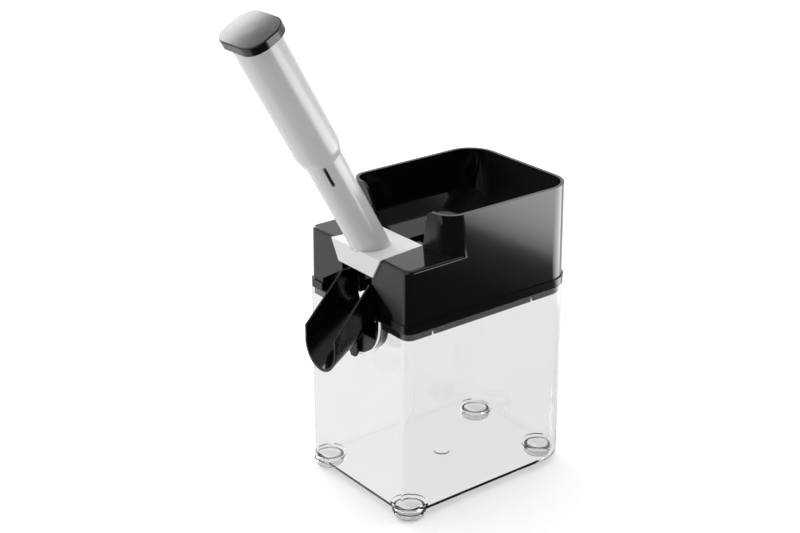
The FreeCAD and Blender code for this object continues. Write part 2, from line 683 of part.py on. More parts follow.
tongue_room = prism("tongue_room", "XZ_Plane", [
    ("-" + tongue_half, BOX_RIM + " - tongue_sill"), (tongue_half, BOX_RIM + " - tongue_sill"),
    (tongue_half, BOX_RIM + " + flange_height"), ("-" + tongue_half, BOX_RIM + " + flange_height"),
], "ctn_length / 2 - niche_depth", "ctn_length / 2 + 1")
mouth = prism("hopper_mouth", "XZ_Plane", [
    ("-mouth_low_half", DECK), ("mouth_low_half", DECK), ("mouth_high_half", HOPPER_RIM),
    ("ctn_width / 2", HOPPER_RIM), ("ctn_width / 2", HOPPER_RIM + " + 4"),
    ("-ctn_width / 2", HOPPER_RIM + " + 4"), ("-ctn_width / 2", HOPPER_RIM), ("-mouth_high_half", HOPPER_RIM),
], "0", "ctn_length / 2")
add_fillet(mouth, lambda edge: abs(abs(middle(edge).x) - num("mouth_high_half")) < 0.01
           and abs(middle(edge).z - num(HOPPER_RIM)) < 0.01, "mouth_corner_radius")
head_whole = joined("head_whole", "MultiFuse", [head_shell, flange, fittings_inside, socket_below, tongue])
head_rooms = joined("head_rooms", "MultiFuse", [cover_room, passage, lane_room, seat_room, drop_way, niche,
                                                tongue_room, mouth])
hopper_head = joined("hopper_head", "Cut", [head_whole, head_rooms])

# The plunger cover: a hollow wedge, open below and behind, with a leaning bore for the guide tube
cover_form = cover_block("cover_form", "0", "0", "0", "0", "0")
cover_hollow = cover_block("cover_hollow", "0 - cover_wall", "0 - cover_wall", "1", "0 - cover_wall", "0 - 1")
cover_collar = lean(turned("cover_collar", [
    ("0", "-tube_drop"), ("tube_radius + cover_wall", "-tube_drop"),
    ("tube_radius + cover_wall", "tube_drop"), ("0", "tube_drop"),
]))
tube_bore = lean(turned("tube_bore", [
    ("0", "-2 * tube_drop"), ("tube_radius + slide_gap", "-2 * tube_drop"),
    ("tube_radius + slide_gap", "2 * tube_drop"), ("0", "2 * tube_drop"),
]))
cover_shell = joined("cover_shell", "Cut", [cover_form, cover_hollow])
collar_inside = joined("cover_collar_inside", "MultiCommon", [cover_collar, cover_form])
cover_solid = joined("cover_solid", "MultiFuse", [cover_shell, collar_inside])
plunger_cover = joined("plunger_cover", "Cut", [cover_solid, tube_bore])

# The guide tube: four slots leave sprung fingers at its top, whose barbs hold the sleeve
tube_bore_radius = "(tube_radius - tube_wall)"
guide_tube = lean(turned("guide_tube", [
    (tube_bore_radius + " - wiper_wall", "-tube_drop"), ("tube_radius", "-tube_drop"),
    ("tube_radius", TUBE_TOP + " - barb_height"), ("tube_radius + barb_reach", TUBE_TOP + " - barb_height"),
    ("tube_radius", TUBE_TOP), (tube_bore_radius, TUBE_TOP), (tube_bore_radius, "1 - tube_drop"),
    (tube_bore_radius + " - wiper_wall", "1 - tube_drop"),
]))
for turn in ("0", "90"):
    drawing = new_sketch(guide_tube, "XZ_Plane")
    drawing.AttachmentOffset = Placement(Vector(), Rotation(Vector(0, 1, 0), num("slot_turn + " + turn)))
    drawing.setExpression("AttachmentOffset.Rotation.Angle", bound("slot_turn + " + turn))
    draw_outline(drawing, rectangle("slot_width / 2", "slot_start", TUBE_TOP + " + 1"))
    add_pocket(guide_tube, drawing, "3 * tube_radius", midplane=True)

# The sleeve: a grip with a collar that runs on the guide tube and a web near its top
sleeve_bore = "(sleeve_low_radius - sleeve_wall)"
plunger_sleeve = lean(turned("plunger_sleeve", [
    ("tube_radius + slide_gap", "collar_low"), ("sleeve_low_radius - sleeve_chamfer", "collar_low"),
    ("sleeve_low_radius", "collar_low + sleeve_chamfer_height"), ("sleeve_top_radius", "sleeve_top"),
    (sleeve_bore, "sleeve_top"), (sleeve_bore, WEB_LOW + " + 2"),
    ("screw_radius + snap_gap", WEB_LOW + " + 2"), ("screw_radius + snap_gap", WEB_LOW),
    (sleeve_bore, WEB_LOW), (sleeve_bore, COLLAR_TOP),
    ("tube_radius + slide_gap", COLLAR_TOP),
]))

# The cap: a rounded pad, wider across than deep, with a slightly domed top, plugged into the sleeve
cap_block = new_body("cap_block")
drawing = new_sketch(cap_block, "XY_Plane", "sleeve_top")
draw_rounded(drawing, "cap_half", "-cap_deep_half", "cap_deep_half", "cap_corner_radius",
             "cap_corner_radius")
add_pad(cap_block, drawing, "cap_height")
drawing = new_sketch(cap_block, "XY_Plane", "sleeve_top - cap_plug")
draw_circle(drawing, "0", "0", sleeve_bore + " - snap_gap")
draw_circle(drawing, "0", "0", sleeve_bore + " - snap_gap - cover_wall")
add_pad(cap_block, drawing, "cap_plug")
cap_ball = doc.addObject("Part::Sphere", "cap_ball")
ball_radius = "(cap_half * cap_half / cap_dome)"
cap_ball.setExpression("Radius", bound(ball_radius))
cap_ball.setExpression("Placement.Base.z", bound("sleeve_top + cap_height - " + ball_radius))
cap_domed = joined("cap_domed", "MultiCommon", [cap_block, cap_ball])
cap_crown = num("sleeve_top + cap_height - 3 * cap_dome")
crown_edges = [
    (index, num("cap_edge"), num("cap_edge")) for index, edge in enumerate(cap_domed.Shape.Edges, start=1)
    if min(v.Z for v in edge.Vertexes) > cap_crown and edge.BoundBox.ZLength > -1
    and not is_upright(edge)
]
plunger_cap = doc.addObject("Part::Fillet", "plunger_cap")
plunger_cap.Label = "plunger_cap"
plunger_cap.Base = cap_domed
plunger_cap.Edges = crown_edges
doc.recompute()
lean(plunger_cap)

# The stem that the spring lifts, screwed to the sleeve's web, and the screw under the cap
plunger_stem = lean(turned("plunger_stem", [
    ("rod_radius", "stem_flange_low"), ("stem_flange_radius", "stem_flange_low"),
    ("stem_flange_radius", "stem_flange_low + stem_flange_height"),
    ("stem_radius", "stem_flange_low + stem_flange_height"), ("stem_radius", WEB_LOW),
    ("screw_radius", WEB_LOW), ("screw_radius", WEB_LOW + " - screw_length"),
    ("0", WEB_LOW + " - screw_length"),
    ("0", "stem_flange_low + stem_bore_depth"), ("rod_radius", "stem_flange_low + stem_bore_depth"),
]))
drawing = new_sketch(plunger_stem, "YZ_Plane")
draw_circle(drawing, "0", "stem_flange_low + stem_bore_depth / 2", "pin_radius")
add_pocket(plunger_stem, drawing, "4 * stem_radius", midplane=True)
stem_screw = lean(turned("stem_screw", [
    ("0", WEB_LOW + " + 2 - screw_length"), ("screw_radius", WEB_LOW + " + 2 - screw_length"),
    ("screw_radius", WEB_LOW + " + 2"), ("screw_head_radius", WEB_LOW + " + 2"),
    ("screw_head_radius", WEB_LOW + " + 2 + screw_head_height"), ("0", WEB_LOW + " + 2 + screw_head_height"),
]))
drawing = new_sketch(stem_screw, "XY_Plane", WEB_LOW + " + 2 + screw_head_height")
draw_outline(drawing, rectangle("(screw_head_radius / 1.6)", "-screw_radius / 4", "screw_radius / 4"))
add_pocket(stem_screw, drawing, "screw_head_height / 2")
drawing = new_sketch(stem_screw, "XY_Plane", WEB_LOW + " + 2 + screw_head_height")
draw_outline(drawing, rectangle("(screw_radius / 4)", "-screw_head_radius / 1.6", "screw_head_radius / 1.6"))
add_pocket(stem_screw, drawing, "screw_head_height / 2")

# The stoning rod with its fluted end, and the pin that holds it in the stem
pitting_rod = lean(turned("pitting_rod", [
    ("0", "-rod_tip"), ("rod_radius - 0.7", "-rod_tip"), ("rod_radius", "-rod_tip + 1.2"),
    ("rod_radius", "stem_flange_low + stem_bore_depth"), ("0", "stem_flange_low + stem_bore_depth"),
]))
drawing = new_sketch(pitting_rod, "XY_Plane", "-rod_tip - 1")
draw_circle(drawing, "rod_radius", "rod_radius", "cross_groove + 0.4")
feature = add_pocket(pitting_rod, drawing, "cross_length")
feature.Reversed = True
flutes = pitting_rod.newObject("PartDesign::PolarPattern", "pitting_rod_flutes")
flutes.Originals = [feature]
flutes.Axis = (drawing, ["N_Axis"])
flutes.Angle = 360
flutes.Occurrences = 4
pitting_rod.Tip = flutes
doc.recompute()
drawing = new_sketch(pitting_rod, "YZ_Plane")
draw_circle(drawing, "0", "stem_flange_low + stem_bore_depth / 2", "pin_radius")
add_pocket(pitting_rod, drawing, "4 * stem_radius", midplane=True)
rod_pin = new_body("rod_pin")
drawing = new_sketch(rod_pin, "YZ_Plane")
draw_circle(drawing, "0", "stem_flange_low + stem_bore_depth / 2", "pin_radius")
add_pad(rod_pin, drawing, "1.8 * stem_radius", midplane=True)
lean(rod_pin)

# The return spring between the washer at the tube's foot and the stem's flange
SPRING_LOW = "(stripper_height - tube_drop + 1 + washer_height)"
stripper = lean(turned("rod_stripper", [
    ("rod_radius + slide_gap", "1 - tube_drop"), (tube_bore_radius + " - snap_gap", "1 - tube_drop"),
    (tube_bore_radius + " - snap_gap", "1 - tube_drop + stripper_height"),
    ("rod_radius + wiper_wall", "1 - tube_drop + stripper_height"),
    ("rod_radius + wiper_wall", "1 - tube_drop + stripper_height - wiper_height"),
    ("rod_radius + slide_gap", "1 - tube_drop + stripper_height - wiper_height"),
]))
wiper = lean(turned("rod_wiper", [
    ("rod_radius + slide_gap", "1 - tube_drop + stripper_height - wiper_height"),
    ("rod_radius + wiper_wall", "1 - tube_drop + stripper_height - wiper_height"),
    ("rod_radius + wiper_wall", "1 - tube_drop + stripper_height"),
    ("rod_radius + slide_gap", "1 - tube_drop + stripper_height"),
]))
washer = lean(turned("spring_washer", [
    ("rod_radius + lift_gap", "1 - tube_drop + stripper_height"),
    (tube_bore_radius + " - snap_gap", "1 - tube_drop + stripper_height"),
    (tube_bore_radius + " - snap_gap", SPRING_LOW), ("rod_radius + lift_gap", SPRING_LOW),
]))
spring = doc.addObject("Part::Feature", "return_spring")
spring.Label = "return_spring"
wire_radius = num("spring_wire") / 2
coil_low = num(SPRING_LOW) + wire_radius + 0.2
coil_high = num("stem_flange_low") - wire_radius - 0.2
coil_radius = num("spring_radius") - wire_radius
coil = Part.makeHelix((coil_high - coil_low) / num("spring_turns"), coil_high - coil_low, coil_radius)
wire_section = Part.Wire(Part.makeCircle(wire_radius, Vector(coil_radius, 0, 0), Vector(0, 1, 0)))
coil_solid = Part.Wire(coil.Edges).makePipeShell([wire_section], True, True)
coil_solid.translate(Vector(0, 0, coil_low))
spring.Shape = coil_solid
lean(spring)

# The seat below the lane, with a slit membrane under its hole and a ring that keeps it
bowl_foot = "(%s - seat_bowl_depth)" % SEAT_TOP
seat_ring = lean(turned("seat_ring", [
    ("seat_hole_radius", "(%s + membrane_height + keeper_height)" % SEAT_LOW),
    ("seat_bowl_radius + snap_gap", "(%s + membrane_height + keeper_height)" % SEAT_LOW),
    ("seat_bowl_radius + snap_gap", SEAT_LOW), ("seat_radius", SEAT_LOW), ("seat_radius", SEAT_TOP),
    ("seat_bowl_radius + 1.5", SEAT_TOP), ("seat_hole_radius", bowl_foot),
]))
seat_entry = crosswise("seat_entry", [
    (LANE_FRONT + " - 6", lane_low + " - 3"), (LANE_FRONT, lane_low),
    (LANE_FRONT + " + 6", lane_low + " + 1.4"),
    (LANE_FRONT + " + 6", DECK), (LANE_FRONT + " - 6", DECK),
], "lane_half")
pitting_seat = joined("pitting_seat", "Cut", [seat_ring, seat_entry])
seat_membrane = turned("seat_membrane", [
    ("rod_radius + lift_gap", SEAT_LOW + " + keeper_height"),
    ("seat_bowl_radius", SEAT_LOW + " + keeper_height"),
    ("seat_bowl_radius", SEAT_LOW + " + keeper_height + membrane_height"),
    ("rod_radius + lift_gap", SEAT_LOW + " + keeper_height + membrane_height"),
])
for slit in (rectangle("(seat_hole_radius - 0.5)", "-membrane_slit / 2", "membrane_slit / 2"),
             rectangle("(membrane_slit / 2)", "0.5 - seat_hole_radius", "seat_hole_radius - 0.5")):
    drawing = new_sketch(seat_membrane, "XY_Plane", SEAT_LOW + " + keeper_height + membrane_height + 1")
    draw_outline(drawing, slit)
    add_pocket(seat_membrane, drawing, "membrane_height + 2")
lean(seat_membrane)
seat_keeper = lean(turned("seat_keeper", [
    ("seat_hole_radius + 1.5", SEAT_LOW), ("seat_bowl_radius", SEAT_LOW),
    ("seat_bowl_radius", SEAT_LOW + " + keeper_height"),
    ("seat_hole_radius + 1.5", SEAT_LOW + " + keeper_height"),
]))


chute_form = trough("chute_form", "0", "0")
chute_room = trough("chute_room", "chute_wall", "1")
far = "(%s - chute_reach - 2)" % FRONT
rim_fall = "tan(chute_rim_slope)"
above_rim = crosswise("chute_above_rim", [
    (far, "(%s - (chute_reach + 2) * %s)" % (NECK_LOW, rim_fall)), (FRONT, NECK_LOW + " - lift_gap"),
    (FRONT + " + chute_back + 1", NECK_LOW + " - lift_gap"), (FRONT + " + chute_back + 1", HOPPER_RIM),
    (far, HOPPER_RIM),
], "2 * chute_mouth_half")
chute_tab = new_body("chute_tab")
drawing = new_sketch(chute_tab, "XZ_Plane", "ctn_length / 2 + lift_gap")
tab_foot = "(%s - tab_drop)" % BOX_RIM
draw_outline(drawing, [
    ("-tab_half", tab_foot + " + tab_half"), ("-tab_half / 2.4", tab_foot), ("tab_half / 2.4", tab_foot),
    ("tab_half", tab_foot + " + tab_half"), ("tab_half", tab_foot + " + tab_drop - 8"),
    ("-tab_half", tab_foot + " + tab_drop - 8"),
])
add_pad(chute_tab, drawing, "tab_wall")
chute_trough = joined("chute_trough", "Cut", [chute_form, above_rim])
chute_whole = joined("chute_whole", "MultiFuse", [chute_trough, chute_tab])
chute = joined("chute", "Cut", [chute_whole, chute_room])


# Everything is checked before a file is written
doc.recompute()
coil_room = num("stem_flange_low - plunger_travel") - num(SPRING_LOW)
if num("spring_turns * spring_wire") > coil_room:
    raise ValueError("the spring is solid before the plunger is down")
PARTS = [
    container, *feet, hopper_head, plunger_cover, guide_tube, plunger_sleeve, plunger_cap, plunger_stem,
    stem_screw, pitting_rod, rod_pin, stripper, wiper, washer, spring, pitting_seat, seat_membrane,
    seat_keeper, chute,
]

# The origin is on the table under the middle of the whole object, which reaches from the cap's edge
# to the box's rear wall, so every finished piece moves back by what it leans out in front
cap_front = "(cap_deep_half - cap_edge)"
cap_high = "(sleeve_top + cap_height - cap_edge - cap_dome * (%s / cap_half) ^ 2 / 2)" % cap_front
cap_reach = "(cap_edge - %s + %s * cos(plunger_tilt) + %s * sin(plunger_tilt))" % (
    AXIS_Y, cap_front, cap_high)
for item in PARTS:
    drawn = {path.strip("."): formula for path, formula in item.ExpressionEngine}
    item.setExpression("Placement.Base.y", "%s + %s" % (
        drawn.get("Placement.Base.y", "0"), bound("(%s - ctn_length / 2) / 2" % cap_reach)))
doc.recompute()
for item in doc.Objects:
    if "Invalid" in item.State or "Error" in item.State:
        raise ValueError("%s did not build: %s" % (item.Name, item.State))
for item in PARTS:
    if item.Shape.isNull() or not item.Shape.isValid() or len(item.Shape.Solids) != 1:
        raise ValueError("%s is not one sound solid" % item.Label)
os.makedirs("parts", exist_ok=True)
for item in PARTS:
    item.Shape.exportStep("parts/%s.step" % item.Label)
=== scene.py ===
import math

import bpy
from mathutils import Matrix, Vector


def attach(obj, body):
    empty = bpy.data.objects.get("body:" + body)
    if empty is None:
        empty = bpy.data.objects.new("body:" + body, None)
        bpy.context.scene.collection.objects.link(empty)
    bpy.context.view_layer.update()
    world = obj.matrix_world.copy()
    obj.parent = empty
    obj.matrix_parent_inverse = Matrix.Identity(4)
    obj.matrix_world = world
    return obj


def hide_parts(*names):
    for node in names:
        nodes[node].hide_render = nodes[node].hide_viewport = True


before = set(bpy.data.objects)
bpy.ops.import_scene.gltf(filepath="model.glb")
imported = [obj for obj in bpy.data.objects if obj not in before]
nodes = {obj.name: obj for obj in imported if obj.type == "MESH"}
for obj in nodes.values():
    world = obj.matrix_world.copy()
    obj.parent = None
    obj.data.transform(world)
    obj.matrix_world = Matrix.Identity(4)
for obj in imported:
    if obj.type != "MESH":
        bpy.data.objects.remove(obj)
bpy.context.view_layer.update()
scene = bpy.context.scene
scene.view_settings.view_transform = "Standard"


# The camera stands to the right of the chute's side and looks a little down at the pitter. Its lens
# and place were solved from the edges of the clear box.
CAMERA_LENS = 70.66
CAMERA_PLACE = (0.66746, -0.51675, 0.49155)
CAMERA_DIP = 22.520
CAMERA_TURN = 51.934
camera_data = bpy.data.cameras.new("camera")
camera_data.sensor_width = 36.0
camera_data.lens = CAMERA_LENS
camera = bpy.data.objects.new("camera", camera_data)
scene.collection.objects.link(camera)
camera.location = CAMERA_PLACE
camera.rotation_euler = (math.radians(90 - CAMERA_DIP), 0.0, math.radians(CAMERA_TURN))
scene.camera = camera


# The studio is a white tent with a black flag on the right, which gives every piece its dark side.
# For diffuse light the flag stands wider and nearer the front, and clear plastic dims the tent.
def maths(tree, operation, second=None):
    """A maths node, with its second input where that is a plain number."""
    node = tree.new("ShaderNodeMath")
    node.operation = operation
    if second is not None:
        node.inputs[1].default_value = second
    return node


def spread(tree, source, target=(0.0, 1.0), kind="LINEAR"):
    """A node that carries one range of values over to another."""
    node = tree.new("ShaderNodeMapRange")
    node.interpolation_type = kind
    node.inputs["From Min"].default_value, node.inputs["From Max"].default_value = source
    node.inputs["To Min"].default_value, node.inputs["To Max"].default_value = target
    return node


world = bpy.data.worlds.new("studio")
scene.world = world
world.use_nodes = True
tree = world.node_tree.nodes
links = world.node_tree.links
tree.clear()
direction = tree.new("ShaderNodeTexCoord")
toward_flag = tree.new("ShaderNodeVectorMath")
toward_flag.operation = "DOT_PRODUCT"
links.new(direction.outputs["Generated"], toward_flag.inputs[0])
path = tree.new("ShaderNodeLightPath")
flag_side = tree.new("ShaderNodeMix")
flag_side.data_type = "VECTOR"
flag_side.inputs["A"].default_value = (1.0, 0.05, 0.0)
flag_side.inputs["B"].default_value = (1.10, -0.32, 0.0)
links.new(path.outputs["Is Diffuse Ray"], flag_side.inputs["Factor"])
links.new(flag_side.outputs["Result"], toward_flag.inputs[1])
flag = spread(tree, (0.30, 0.78), (1.0, 0.06))
links.new(toward_flag.outputs["Value"], flag.inputs["Value"])
through = tree.new("ShaderNodeMix")
through.inputs["A"].default_value = 1.0
through.inputs["B"].default_value = 0.70
inside = maths(tree, "GREATER_THAN", 0.5)
links.new(path.outputs["Transmission Depth"], inside.inputs[0])
links.new(inside.outputs["Value"], through.inputs["Factor"])
flagged = maths(tree, "MULTIPLY")
links.new(flag.outputs["Result"], flagged.inputs[0])
links.new(through.outputs["Result"], flagged.inputs[1])
seen = tree.new("ShaderNodeMix")
seen.inputs["B"].default_value = 1.0
links.new(path.outputs["Is Camera Ray"], seen.inputs["Factor"])
links.new(flagged.outputs["Value"], seen.inputs["A"])
surround = tree.new("ShaderNodeBackground")
surround.inputs["Color"].default_value = (1.0, 1.0, 1.0, 1.0)
links.new(seen.outputs["Result"], surround.inputs["Strength"])
world_output = tree.new("ShaderNodeOutputWorld")
links.new(surround.outputs["Background"], world_output.inputs["Surface"])


# The table: a wide sheet of matte white card that keeps a faint shadow under the feet. What gloss
# mirrors of it is painted light and shade glowing from the card: a painted shade beside the pitter,
# in place of the flag's shade, that runs to a painted bright sweep of card behind it. What is seen
# of it through clear plastic is an even painted light grey, and gloss inside clear plastic mirrors
# it as a painted dark shade.
bpy.ops.object.select_all(action="DESELECT")
bpy.ops.mesh.primitive_plane_add(size=6.0, location=(0.0, 0.0, 0.0))
table = bpy.context.active_object
table.name = "table"
white_card = bpy.data.materials.new("white_card")
white_card.use_nodes = True
tree = white_card.node_tree.nodes
links = white_card.node_tree.links
tree.clear()
place = tree.new("ShaderNodeTexCoord")
apart = tree.new("ShaderNodeSeparateXYZ")
links.new(place.outputs["Object"], apart.inputs["Vector"])
# Painted reflection: what gloss mirrors of the card behind the pitter glows brighter and brighter
# by emission.
painted_sweep = tree.new("ShaderNodeFloatCurve")
SWEEP_FROM, SWEEP_TO, SWEEP_TOP = 0.15, 0.50, 6.0
curve = painted_sweep.mapping.curves[0]
painted_sweep_levels = (
    (0.19, 0.06), (0.235, 0.09), (0.268, 0.16), (0.318, 0.48), (0.344, 2.3), (0.40, 4.8),
)
for back, level in painted_sweep_levels:
    curve.points.new((back - SWEEP_FROM) / (SWEEP_TO - SWEEP_FROM), level / SWEEP_TOP)
curve.points[0].location = (0.0, 0.06 / SWEEP_TOP)
curve.points[-1].location = (1.0, 1.0)
painted_sweep.mapping.update()
along = spread(tree, (SWEEP_FROM, SWEEP_TO))
links.new(apart.outputs["Y"], along.inputs["Value"])
links.new(along.outputs["Result"], painted_sweep.inputs["Value"])
mirrored = maths(tree, "MULTIPLY", SWEEP_TOP)
links.new(painted_sweep.outputs["Value"], mirrored.inputs[0])
# Painted shade: beside the pitter the mirrored card glows dark, in place of the flag's shade.
beside = spread(tree, (0.0, 0.07), kind="SMOOTHSTEP")
links.new(apart.outputs["X"], beside.inputs["Value"])
behind = spread(tree, (-0.60, -0.45), kind="SMOOTHSTEP")
links.new(apart.outputs["Y"], behind.inputs["Value"])
painted_shade_share = maths(tree, "MULTIPLY")
links.new(beside.outputs["Result"], painted_shade_share.inputs[0])
links.new(behind.outputs["Result"], painted_shade_share.inputs[1])
painted_mirror_level = tree.new("ShaderNodeMix")
painted_mirror_level.inputs["A"].default_value = 1.15
links.new(painted_shade_share.outputs["Value"], painted_mirror_level.inputs["Factor"])
links.new(mirrored.outputs["Value"], painted_mirror_level.inputs["B"])
card_matte = tree.new("ShaderNodeBsdfDiffuse")
card_matte.inputs["Color"].default_value = (0.86, 0.86, 0.86, 1.0)
card_lift = tree.new("ShaderNodeEmission")
path = tree.new("ShaderNodeLightPath")
lift = maths(tree, "MULTIPLY", 0.42)
links.new(path.outputs["Is Camera Ray"], lift.inputs[0])
links.new(lift.outputs["Value"], card_lift.inputs["Strength"])
card_seen = tree.new("ShaderNodeAddShader")
links.new(card_matte.outputs["BSDF"], card_seen.inputs[0])
links.new(card_lift.outputs["Emission"], card_seen.inputs[1])
inside = maths(tree, "GREATER_THAN", 0.5)
links.new(path.outputs["Transmission Depth"], inside.inputs[0])
# Painted shade: gloss seen inside clear plastic mirrors the card at a dim level, which darkens the
# box's edges.
painted_edge_shade = tree.new("ShaderNodeMix")
painted_edge_shade.inputs["B"].default_value = 0.30
links.new(inside.outputs["Value"], painted_edge_shade.inputs["Factor"])
links.new(painted_mirror_level.outputs["Result"], painted_edge_shade.inputs["A"])
card_painted_mirror = tree.new("ShaderNodeEmission")
links.new(painted_edge_shade.outputs["Result"], card_painted_mirror.inputs["Strength"])
card_choice = tree.new("ShaderNodeMixShader")
links.new(path.outputs["Is Glossy Ray"], card_choice.inputs["Fac"])
links.new(card_seen.outputs["Shader"], card_choice.inputs[1])
links.new(card_painted_mirror.outputs["Emission"], card_choice.inputs[2])
# Painted shade: seen through clear plastic, the card is an even glow a step darker than white.
card_painted_through = tree.new("ShaderNodeEmission")
card_painted_through.inputs["Color"].default_value = (1.0, 0.995, 0.99, 1.0)
card_painted_through.inputs["Strength"].default_value = 0.88
card_behind = tree.new("ShaderNodeMixShader")
links.new(path.outputs["Is Transmission Ray"], card_behind.inputs["Fac"])
links.new(card_choice.outputs["Shader"], card_behind.inputs[1])
links.new(card_painted_through.outputs["Emission"], card_behind.inputs[2])
card_output = tree.new("ShaderNodeOutputMaterial")
links.new(card_behind.outputs["Shader"], card_output.inputs["Surface"])
table.data.materials.append(white_card)


# Studio lamps: a large soft box on the left, whose edge the cap mirrors, and a tall strip behind on
# the right, which draws the light line down the sleeve and the rear corner.
def soft_box(name, place, aim, width, height, watts):
    lamp_data = bpy.data.lights.new(name, "AREA")
    lamp_data.shape = "RECTANGLE"
    lamp_data.size = width
    lamp_data.size_y = height
    lamp_data.energy = watts
    lamp = bpy.data.objects.new(name, lamp_data)
    scene.collection.objects.link(lamp)
    lamp.location = place
    lamp.rotation_euler = (Vector(aim) - Vector(place)).to_track_quat("-Z", "Y").to_euler()


soft_box("soft_box_left", (-1.79, 0.07, 0.99), (0.0, -0.05, 0.25), 0.9, 0.9, 15.0)
soft_box("strip_right", (0.62, 1.25, 0.75), (0.0, 0.0, 0.20), 0.28, 1.1, 2.2)


# The clear box: one shell moulded in clear glassy plastic, with tight front corners, wide rear ones
# and a U notch with a thick lip, which the chute's tongue closes.
def merged_copy(node, name):
    """A copy of a node's mesh with its loose triangles joined into flat faces."""
    piece = bpy.data.objects.new(name, nodes[node].data.copy())
    scene.collection.objects.link(piece)
    bpy.ops.object.select_all(action="DESELECT")
    piece.select_set(True)
    bpy.context.view_layer.objects.active = piece
    bpy.ops.object.mode_set(mode="EDIT")
    bpy.ops.mesh.select_all(action="SELECT")
    bpy.ops.mesh.remove_doubles(threshold=2e-6)
    bpy.ops.mesh.dissolve_limited(angle_limit=math.radians(0.4))
    bpy.ops.object.mode_set(mode="OBJECT")
    return piece


def soften(piece, width, sharper_than, segments=2):
    """Rounds a moulded piece's edges and smooths what is between them."""
    edge_round = piece.modifiers.new("edge_round", "BEVEL")
    edge_round.width = width
    edge_round.segments = segments
    edge_round.limit_method = "ANGLE"
    edge_round.angle_limit = math.radians(sharper_than)
    edge_round.use_clamp_overlap = True
    edge_round.miter_outer = "MITER_ARC"
    bpy.ops.object.modifier_apply(modifier=edge_round.name)
    smooth(piece, sharper_than)


def smooth(piece, sharper_than):
    bpy.ops.object.shade_smooth_by_angle(angle=math.radians(sharper_than))
    even = piece.modifiers.new("even_faces", "WEIGHTED_NORMAL")
    even.mode = "FACE_AREA"
    even.keep_sharp = True
    bpy.ops.object.modifier_apply(modifier=even.name)


def finish_group(name, sockets):
    """An empty shader group with the named inputs and outputs."""
    group = bpy.data.node_groups.new(name, "ShaderNodeTree")
    for way, label, kind, value in sockets:
        socket = group.interface.new_socket(name=label, in_out=way, socket_type=kind)
        if value is not None:
            socket.default_value = value
    return group, group.nodes.new("NodeGroupInput"), group.nodes.new("NodeGroupOutput")


# Skin of a moulding: a slow drift of tone, fine pits of the mould's surface and the faint waves in
# which the melt set.
moulded_skin, entry, result = finish_group("moulded_skin", (
    ("INPUT", "Color", "NodeSocketColor", (0.5, 0.5, 0.5, 1.0)),
    ("INPUT", "Roughness", "NodeSocketFloat", 0.3),
    ("INPUT", "Drift", "NodeSocketFloat", 0.05),
    ("INPUT", "Pit Size", "NodeSocketFloat", 0.0004),
    ("INPUT", "Pit Depth", "NodeSocketFloat", 0.3),
    ("OUTPUT", "Color", "NodeSocketColor", None),
    ("OUTPUT", "Roughness", "NodeSocketFloat", None),
    ("OUTPUT", "Height", "NodeSocketFloat", None),
))
tree = moulded_skin.nodes
links = moulded_skin.links
place = tree.new("ShaderNodeTexCoord")
cloud = tree.new("ShaderNodeTexNoise")
cloud.inputs["Scale"].default_value = 26.0
cloud.inputs["Detail"].default_value = 4.0
links.new(place.outputs["Object"], cloud.inputs["Vector"])
swing = maths(tree, "MULTIPLY_ADD")
swing.inputs[2].default_value = 1.0
centred = maths(tree, "SUBTRACT", 0.5)
links.new(cloud.outputs["Fac"], centred.inputs[0])
links.new(centred.outputs["Value"], swing.inputs[0])
links.new(entry.outputs["Drift"], swing.inputs[1])
tone = tree.new("ShaderNodeVectorMath")
tone.operation = "SCALE"
links.new(entry.outputs["Color"], tone.inputs[0])
links.new(swing.outputs["Value"], tone.inputs["Scale"])
links.new(tone.outputs["Vector"], result.inputs["Color"])
polish = maths(tree, "MULTIPLY")
links.new(entry.outputs["Roughness"], polish.inputs[0])
links.new(swing.outputs["Value"], polish.inputs[1])
links.new(polish.outputs["Value"], result.inputs["Roughness"])
per_metre = maths(tree, "DIVIDE")
per_metre.inputs[0].default_value = 1.0
links.new(entry.outputs["Pit Size"], per_metre.inputs[1])
pits = tree.new("ShaderNodeTexNoise")
pits.inputs["Detail"].default_value = 1.0
links.new(place.outputs["Object"], pits.inputs["Vector"])
links.new(per_metre.outputs["Value"], pits.inputs["Scale"])
pitted = maths(tree, "MULTIPLY")
links.new(pits.outputs["Fac"], pitted.inputs[0])
links.new(entry.outputs["Pit Depth"], pitted.inputs[1])
links.new(pitted.outputs["Value"], result.inputs["Height"])

# Handling marks: hair-fine scratches that run mostly one way and the dull film of fingers.
handling, entry, result = finish_group("handling_marks", (
    ("INPUT", "Roughness", "NodeSocketFloat", 0.1),
    ("INPUT", "Film", "NodeSocketFloat", 0.03),
    ("INPUT", "Scratches", "NodeSocketFloat", 0.04),
    ("OUTPUT", "Roughness", "NodeSocketFloat", None),
))
tree = handling.nodes
links = handling.links
place = tree.new("ShaderNodeTexCoord")
stretch = tree.new("ShaderNodeMapping")
stretch.inputs["Scale"].default_value = (900.0, 60.0, 420.0)
stretch.inputs["Rotation"].default_value = (0.5, 0.3, 0.4)
links.new(place.outputs["Object"], stretch.inputs["Vector"])
hairs = tree.new("ShaderNodeTexNoise")
hairs.inputs["Scale"].default_value = 1.0
hairs.inputs["Detail"].default_value = 2.0
links.new(stretch.outputs["Vector"], hairs.inputs["Vector"])
hair_lines = spread(tree, (0.66, 0.74))
links.new(hairs.outputs["Fac"], hair_lines.inputs["Value"])
touched = tree.new("ShaderNodeTexNoise")
touched.inputs["Scale"].default_value = 38.0
touched.inputs["Detail"].default_value = 5.0
touched.inputs["Roughness"].default_value = 0.62
links.new(place.outputs["Object"], touched.inputs["Vector"])
film = spread(tree, (0.45, 0.75))
links.new(touched.outputs["Fac"], film.inputs["Value"])
film_share = maths(tree, "MULTIPLY_ADD")
links.new(film.outputs["Result"], film_share.inputs[0])
